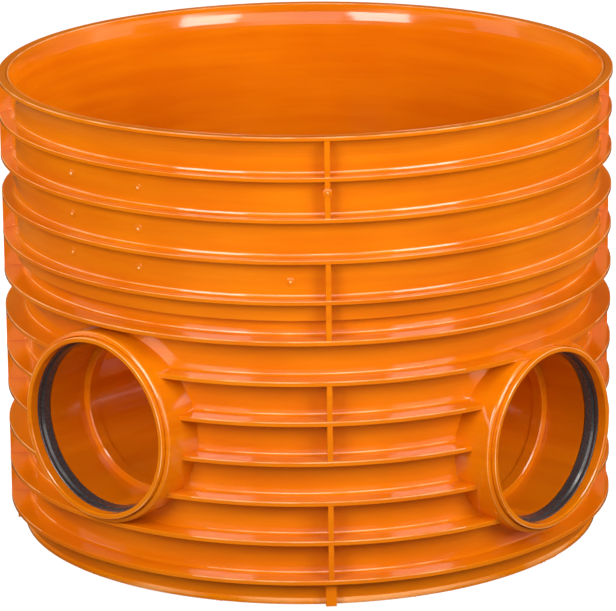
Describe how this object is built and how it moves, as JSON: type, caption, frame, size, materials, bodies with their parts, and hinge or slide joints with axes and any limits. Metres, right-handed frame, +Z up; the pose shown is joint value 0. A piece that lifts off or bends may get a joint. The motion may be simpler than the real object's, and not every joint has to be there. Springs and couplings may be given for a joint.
{
  "type": "drain inspection chamber",
  "caption": "Ribbed round chamber base with two ring-sealed pipe sockets at right angles, a curved flow channel and an open socket on top for a riser shaft.",
  "frame": {"origin": "centre of the base's underside, on the axis of the shaft", "axes": "+Z up along the shaft, inlet socket along -Y, outlet socket along +X"},
  "size_m": [0.6095, 0.6095, 0.456],
  "materials": {
    "orange_plastic": "moulded polypropylene with a satin gloss",
    "ring_plastic": "moulded polypropylene with a satin gloss",
    "black_rubber": "moulded EPDM rubber, matt"
  },
  "bodies": {
    "root": {"chamber_base": "orange_plastic", "chamber_floor": "orange_plastic", "inlet_seal": "black_rubber", "inlet_retaining_ring": "ring_plastic", "outlet_seal": "black_rubber", "outlet_retaining_ring": "ring_plastic"}
  },
  "joints": []
}
